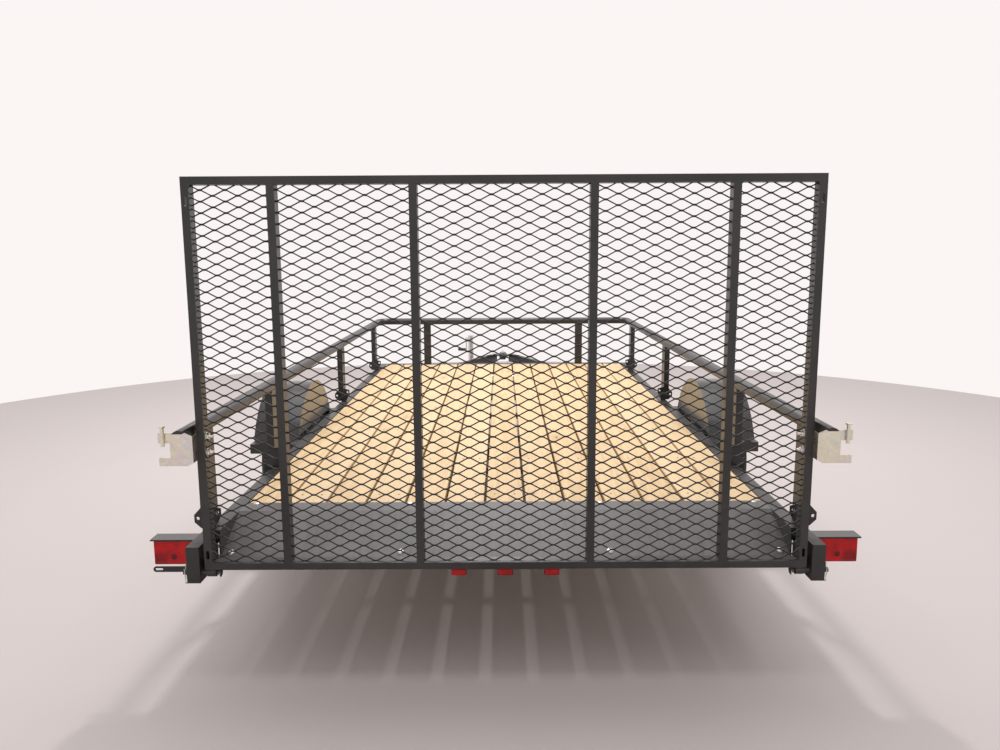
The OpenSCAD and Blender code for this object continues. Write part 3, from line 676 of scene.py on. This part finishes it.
def tyres():
    """Ribbed tread cut into blocks, moulded rings on the walls and a bead against the rim."""
    for name, _ in SIDES:
        bm = bmesh.new()
        a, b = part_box("tyre_" + name)
        centre = (a + b) / 2
        outer, half = (b.z - a.z) / 2, (b.y - a.y) / 2
        rim_r = 0.1903
        wall = [(rim_r, -0.071), (rim_r + 0.012, -0.077), (rim_r + 0.030, -0.088),
                (rim_r + 0.034, -0.0895), (rim_r + 0.037, -0.0885), (rim_r + 0.055, -0.0965),
                (0.262, -0.1005), (0.272, -half), (0.286, -half + 0.0003), (0.290, -0.0995),
                (0.305, -0.0985), (0.318, -0.094), (outer - 0.016, -0.087), (outer - 0.010, -0.080)]
        ribs = [-0.075, -0.047, -0.041, -0.016, -0.010, 0.010, 0.016, 0.041, 0.047, 0.075]
        crown = []
        for i, y in enumerate(ribs):
            drop = 0.6 * y * y
            top, groove = outer - 0.0045 - drop, outer - 0.0115 - drop
            if i % 2 == 0:
                if i:
                    crown.append((groove, y - 0.0010))
                crown.append((top, y))
            else:
                crown.append((top, y))
                if i < len(ribs) - 1:
                    crown.append((groove, y + 0.0010))
        section = wall + crown + [(r, -y) for r, y in reversed(wall)]
        section += [(rim_r, 0.057), (rim_r + 0.016, 0.052), (rim_r + 0.016, -0.052),
                    (rim_r, -0.057), wall[0]]
        turned(bm, section, centre, (0, 1, 0), 90)
        bmesh.ops.remove_doubles(bm, verts=bm.verts[:], dist=1e-5)
        bmesh.ops.recalc_face_normals(bm, faces=bm.faces[:])
        tread = []
        for f in bm.faces:
            away = f.calc_center_median() - centre
            r, y = math.hypot(away.x, away.z), away.y
            if r > outer - 0.009 and any(lo < y < hi for lo, hi in zip(ribs[0::2], ribs[1::2])):
                tread.append(f)
        bmesh.ops.inset_individual(bm, faces=tread, thickness=0.0014, depth=0.0, use_even_offset=True)
        bmesh.ops.inset_individual(bm, faces=tread, thickness=0.0006, depth=0.0045, use_even_offset=True)
        piece("tyre_tread_" + name, bm, "wheel_" + name, FINISH["tyre"], ["tyre_" + name], 28)


def wheel_fittings():
    """Lug nuts on the five studs and a grease cap."""
    for name, side in SIDES:
        bm, cap = bmesh.new(), bmesh.new()
        c = middle("tyre_" + name)
        face = c.y + side * 0.010
        studs = 0.05715
        out = Vector((0, side, 0))
        for i in range(5):
            t = math.radians(72 * i)
            at = Vector((c.x + studs * math.cos(t), face, c.z - studs * math.sin(t)))
            rod(bm, at - out * 0.002, at + out * 0.004, 0.0125, 20, tip=0.0105)
            rod(bm, at + out * 0.0035, at + out * 0.019, 0.0108, 6, 0.0012)
            turned(bm, [(0.0088, 0.0185), (0.0078, 0.0215), (0.0045, 0.0238), (0, 0.0245)], at, out, 16)
        end = high("hub_left").y
        turned(cap, [(0.0245, -0.024), (0.0255, -0.022), (0.0255, -0.018), (0.0248, -0.016),
                     (0.0248, -0.004), (0.0225, -0.0008), (0.016, 0.0012), (0, 0.0016)],
               (c.x, side * end, c.z), out, 40)
        piece("lug_nuts_" + name, bm, "wheel_" + name, FINISH["zinc"])
        piece("grease_cap_" + name, cap, "wheel_" + name, FINISH["zinc"])


def axle_fittings():
    """U-bolts round the axle over each spring, their plates and nuts, and the shackle nuts."""
    bm, black = bmesh.new(), bmesh.new()
    s_low, s_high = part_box("spring_left")
    y0, y1, y = s_low.y, s_high.y, (s_low.y + s_high.y) / 2
    c = Vector((wheel.x, y, wheel.z))
    top = c.z + 0.030 + 0.006 + 3 * 0.007 + 0.003
    outer = 0.0065
    block(black, (c.x - 0.052, y0 - 0.016, top), (c.x + 0.052, y1 + 0.016, top + 0.008), 0.0015)
    for dx in (-0.037, 0.037):
        for end in (y0 - outer, y1 + outer):
            rod(bm, (c.x + dx, end, c.z - 0.032), (c.x + dx, end, top + 0.028), 0.0048, 14)
            rod(bm, (c.x + dx, end, top + 0.0075), (c.x + dx, end, top + 0.018), 0.0095, 6, 0.0008)
        bend = [(y0 - outer, 0.030), (y0 - outer, 0.036), (y0 + 0.004, 0.0365), (y, 0.0365),
                (y1 - 0.004, 0.0365), (y1 + outer, 0.036), (y1 + outer, 0.030)]
        wire(bm, [(c.x + dx, across, c.z - down) for across, down in bend], 0.0048, sides=12)
    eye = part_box("hangers_left")
    for dx in (-0.33, 0.33):
        for end, out in ((eye[0].y + 0.004, -1), (eye[1].y - 0.004, 1)):
            z = eye[0].z + 0.020
            rod(bm, (c.x + dx, end - out * 0.002, z), (c.x + dx, end + out * 0.0045, z),
                0.0125, 6, 0.0008)
    mirrored(bm)
    mirrored(black)
    piece("axle_bolts", bm, "frame", FINISH["zinc"])
    piece("spring_plates", black, "frame", FINISH["black_steel"])


# ---- tongue

def chain(bm, points, link=0.0155, radius=0.0032):
    """Links along a hanging line, every other one turned a quarter."""
    pitch = 2 * (link - 2 * radius) * 0.98
    path = [Vector(p) for p in points]
    lengths = [0.0]
    for p, q in zip(path, path[1:]):
        lengths.append(lengths[-1] + (q - p).length)
    count = int(lengths[-1] / pitch)
    for i in range(count):
        d = (i + 0.5) * pitch
        k = next(k for k in range(len(path) - 1) if lengths[k + 1] >= d)
        along = (path[k + 1] - path[k]).normalized()
        at = path[k] + along * (d - lengths[k])
        side = along.cross(Vector((0, 0, 1)))
        side = side.normalized() if side.length > 0.05 else Vector((0, 1, 0))
        if i % 2:
            side = along.cross(side).normalized()
        ring = []
        for t in range(12):
            w = math.tau * t / 12
            u, v = math.cos(w), math.sin(w)
            straight = 0.22 * link if u > 0 else -0.22 * link
            ring.append(at + along * (u * link * 0.78 + straight) + side * v * link * 0.58)
        wire(bm, ring, radius, closed=True)


def hook(bm, at, towards):
    """A slip hook that hangs from the chain's last link."""
    at, out = Vector(at), Vector(towards).normalized()
    down = Vector((0, 0, -1))
    line = [(0, 0.004), (0, -0.014), (0.003, -0.026), (0.014, -0.040), (0.028, -0.040),
            (0.036, -0.028), (0.034, -0.014), (0.030, -0.006)]
    wire(bm, [at + out * u - down * v for u, v in line], 0.0048, sides=12)
    angles = [math.tau * i / 10 for i in range(10)]
    wire(bm, [at + out * (0.007 * math.cos(t)) - down * (0.009 + 0.007 * math.sin(t)) for t in angles],
         0.0032, closed=True)


def coupler():
    """The pressed A-frame coupler: gusset plate, ball housing, channel and yoke."""
    ball = mount_at["ball_socket"]
    back, tip = low("coupler").x, high("coupler").x
    bm = bmesh.new()
    plate = [(back, -0.156), (back, 0.156), (tip - 0.215, 0.084), (tip - 0.070, 0.038),
             (tip - 0.070, -0.038), (tip - 0.215, -0.084)]
    rim = [bm.verts.new((x, y, tongue_z + 0.0002)) for x, y in plate]
    top = bm.faces.new(rim)
    grown = bmesh.ops.extrude_face_region(bm, geom=[top])["geom"]
    upper = [g for g in grown if isinstance(g, bmesh.types.BMVert)]
    bmesh.ops.translate(bm, vec=(0, 0, 0.006), verts=upper)
    flat = [e for e in bm.edges if abs(e.verts[0].co.z - e.verts[1].co.z) < 1e-6]
    bmesh.ops.bevel(bm, geom=flat, offset=0.0015, segments=2, profile=0.5, affect="EDGES", material=-1)
    c = (ball.x, 0, 0)
    z = ball.z + 0.009
    outside = [(0.0258, -0.018), (0.0300, -0.0200), (0.0345, -0.0185), (0.0360, -0.0140),
               (0.0345, -0.004), (0.0368, 0.010), (0.0350, 0.022), (0.0290, 0.031),
               (0.0190, 0.0365), (0, 0.0385)]
    socket = [(0.0258, -0.018), (0.0258, 0.002), (0.0235, 0.012), (0.0165, 0.0205), (0, 0.026)]
    for outline in (outside, socket):
        turned(bm, [(r, z + up) for r, up in outline], c, (0, 0, 1), 48)
    block(bm, (ball.x - 0.175, -0.0335, tongue_z - 0.024), (ball.x - 0.022, 0.0335, tongue_z + 0.0155),
          0.007, 4)
    block(bm, (ball.x - 0.21, -0.026, tongue_z - 0.03), (ball.x - 0.12, 0.026, tongue_z + 0.004),
          0.004, 3)
    piece("coupler_body", bm, "frame", FINISH["black_steel"], ["coupler"])
    zinc = bmesh.new()
    base = tongue_z + 0.012
    block(zinc, (ball.x - 0.118, -0.0115, base), (ball.x - 0.060, 0.0115, base + 0.016), 0.003, 3)
    lever = [(0.064, 0.020), (0.090, 0.0225), (0.120, 0.0215), (0.146, 0.0190), (0.152, 0.0165)]
    for y in (-0.0055, 0, 0.0055):
        wire(zinc, [(ball.x - behind, y, base + up) for behind, up in lever], 0.0034, sides=12)
    pivot_x, pivot_z = ball.x - 0.075, base + 0.011
    rod(zinc, (pivot_x, -0.016, pivot_z), (pivot_x, 0.016, pivot_z), 0.0045, 16, 0.0006)
    rod(zinc, (ball.x, 0, z + 0.038), (ball.x, 0, z + 0.046), 0.0105, 6, 0.001)
    rod(zinc, (ball.x, 0, z + 0.045), (ball.x, 0, z + 0.051), 0.0055, 14, 0.0008)
    for y in (-0.105, 0.105):
        bolt(zinc, (back + 0.032, y, tongue_z + 0.0062), (0, 0, 1), 0.017, 0.007)
    piece("coupler_latch", zinc, "frame", FINISH["zinc"], ["coupler_lever"])


def safety_chains():
    """A chain on each side, hanging from the tongue to its hook by the coupler."""
    bm = bmesh.new()
    ball = mount_at["ball_socket"]
    start = Vector((ball.x - 0.300, 0.100, tongue_z - 0.072))
    end = Vector((ball.x - 0.065, 0.047, tongue_z - 0.080))
    spread, sag, steps = 0.035, 0.150, 24
    line = []
    for i in range(steps + 1):
        t = i / steps
        p = start.lerp(end, t)
        line.append((p.x, p.y + spread * math.sin(math.pi * t), p.z - sag * (1 - (2 * t - 1) ** 2)))
    chain(bm, line)
    hook(bm, (end.x + 0.006, end.y, end.z - 0.004), (1, 0, 0))
    rod(bm, start + Vector((-0.012, 0, 0.012)), start + Vector((0.006, 0, 0.012)), 0.007, 12)
    mirrored(bm)
    piece("safety_chains", bm, "frame", FINISH["zinc"])


def jack_fittings():
    """The jack's cap and the bolts of its bracket."""
    swivel = Vector(joint_at["jack_swivel"])
    splay = math.radians(25)
    axis = Vector((math.sin(splay), math.cos(splay), 0))
    along = Vector((axis.y, -axis.x, 0))
    cap = bmesh.new()
    turned(cap, [(0.0262, -0.012), (0.0270, -0.011), (0.0270, -0.003), (0.0262, -0.0008),
                 (0.020, 0.0006), (0, 0.0010)], (swivel.x, swivel.y, high("jack_tube").z), (0, 0, 1), 40)
    piece("jack_cap", cap, "jack", FINISH["zinc"])
    nuts = bmesh.new()
    mount = swivel - axis * 0.055
    for u, v in ((-0.036, -0.025), (0.036, -0.025), (-0.036, 0.025), (0.036, 0.025)):
        bolt(nuts, mount + along * u + Vector((0, 0, v)), axis, 0.013, 0.006)
    piece("jack_bolts", nuts, "frame", FINISH["zinc"])


def labels():
    """A plain silver sticker on the side rail, with nothing on it."""
    bm = bmesh.new()
    front = high("side_rail_left").x
    block(bm, (front - 0.42, 0.9721, deck_z - 0.064), (front - 0.30, 0.9725, deck_z - 0.014))
    piece("blank_labels", bm, "frame", FINISH["label"])


# ---- stage

def stage():
    """A pale round floor in an even, bright room."""
    floor = bmesh.new()
    bmesh.ops.create_circle(floor, cap_ends=True, segments=128, radius=5.7,
                            matrix=Matrix.Translation((-0.4, 0, 0)))
    mesh = bpy.data.meshes.new("floor")
    floor.to_mesh(mesh)
    floor.free()
    paint = Paint("floor")
    cloud = paint.noise(0.7, 4, 0.6)
    paint.set("Base Color", paint.mix(cloud, (0.440, 0.400, 0.392), (0.475, 0.435, 0.426)))
    paint.set("Roughness", 0.42 + cloud * 0.1)
    paint.set("Specular IOR Level", 0.35)
    mesh.materials.append(paint.material)
    plane = bpy.data.objects.new("floor", mesh)
    bpy.context.scene.collection.objects.link(plane)
    world = bpy.data.worlds.new("studio")
    world.use_nodes = True
    sky = world.node_tree.nodes["Background"].inputs
    sky["Color"].default_value = (0.965, 0.914, 0.905, 1)
    sky["Strength"].default_value = 1.0
    bpy.context.scene.world = world
    bpy.context.scene.view_settings.view_transform = "Standard"


def lamp(name, at, aim, size, power, warmth=(1, 1, 1)):
    data = bpy.data.lights.new(name, "AREA")
    data.shape = "RECTANGLE"
    data.size, data.size_y = size
    data.energy = power
    data.color = warmth
    made = bpy.data.objects.new(name, data)
    at, aim = Vector(at), Vector(aim)
    turn = (aim - at).to_track_quat("-Z", "Y").to_matrix().to_4x4()
    made.matrix_world = Matrix.Translation(at) @ turn
    bpy.context.scene.collection.objects.link(made)


def lights():
    """A small hard lamp ahead of the deck and a wide soft one over the trailer."""
    lamp("key", (1.5, 0.1, 4.6), (-0.6, 0, 0.4), (0.35, 0.35), 130, (1, 0.98, 0.95))
    lamp("overhead", (-0.6, 0, 5.4), (-0.6, 0, 0), (6, 5), 190)


make_camera()
paint_frame()
planks()
plank_screws()
deck_fasteners()
gate_mesh()
gate_fasteners()
tail_lights()
marker_lamps()
block_caps()
hinge_clips()
tyres()
wheel_fittings()
axle_fittings()
coupler()
safety_chains()
jack_fittings()
labels()
stage()
lights()
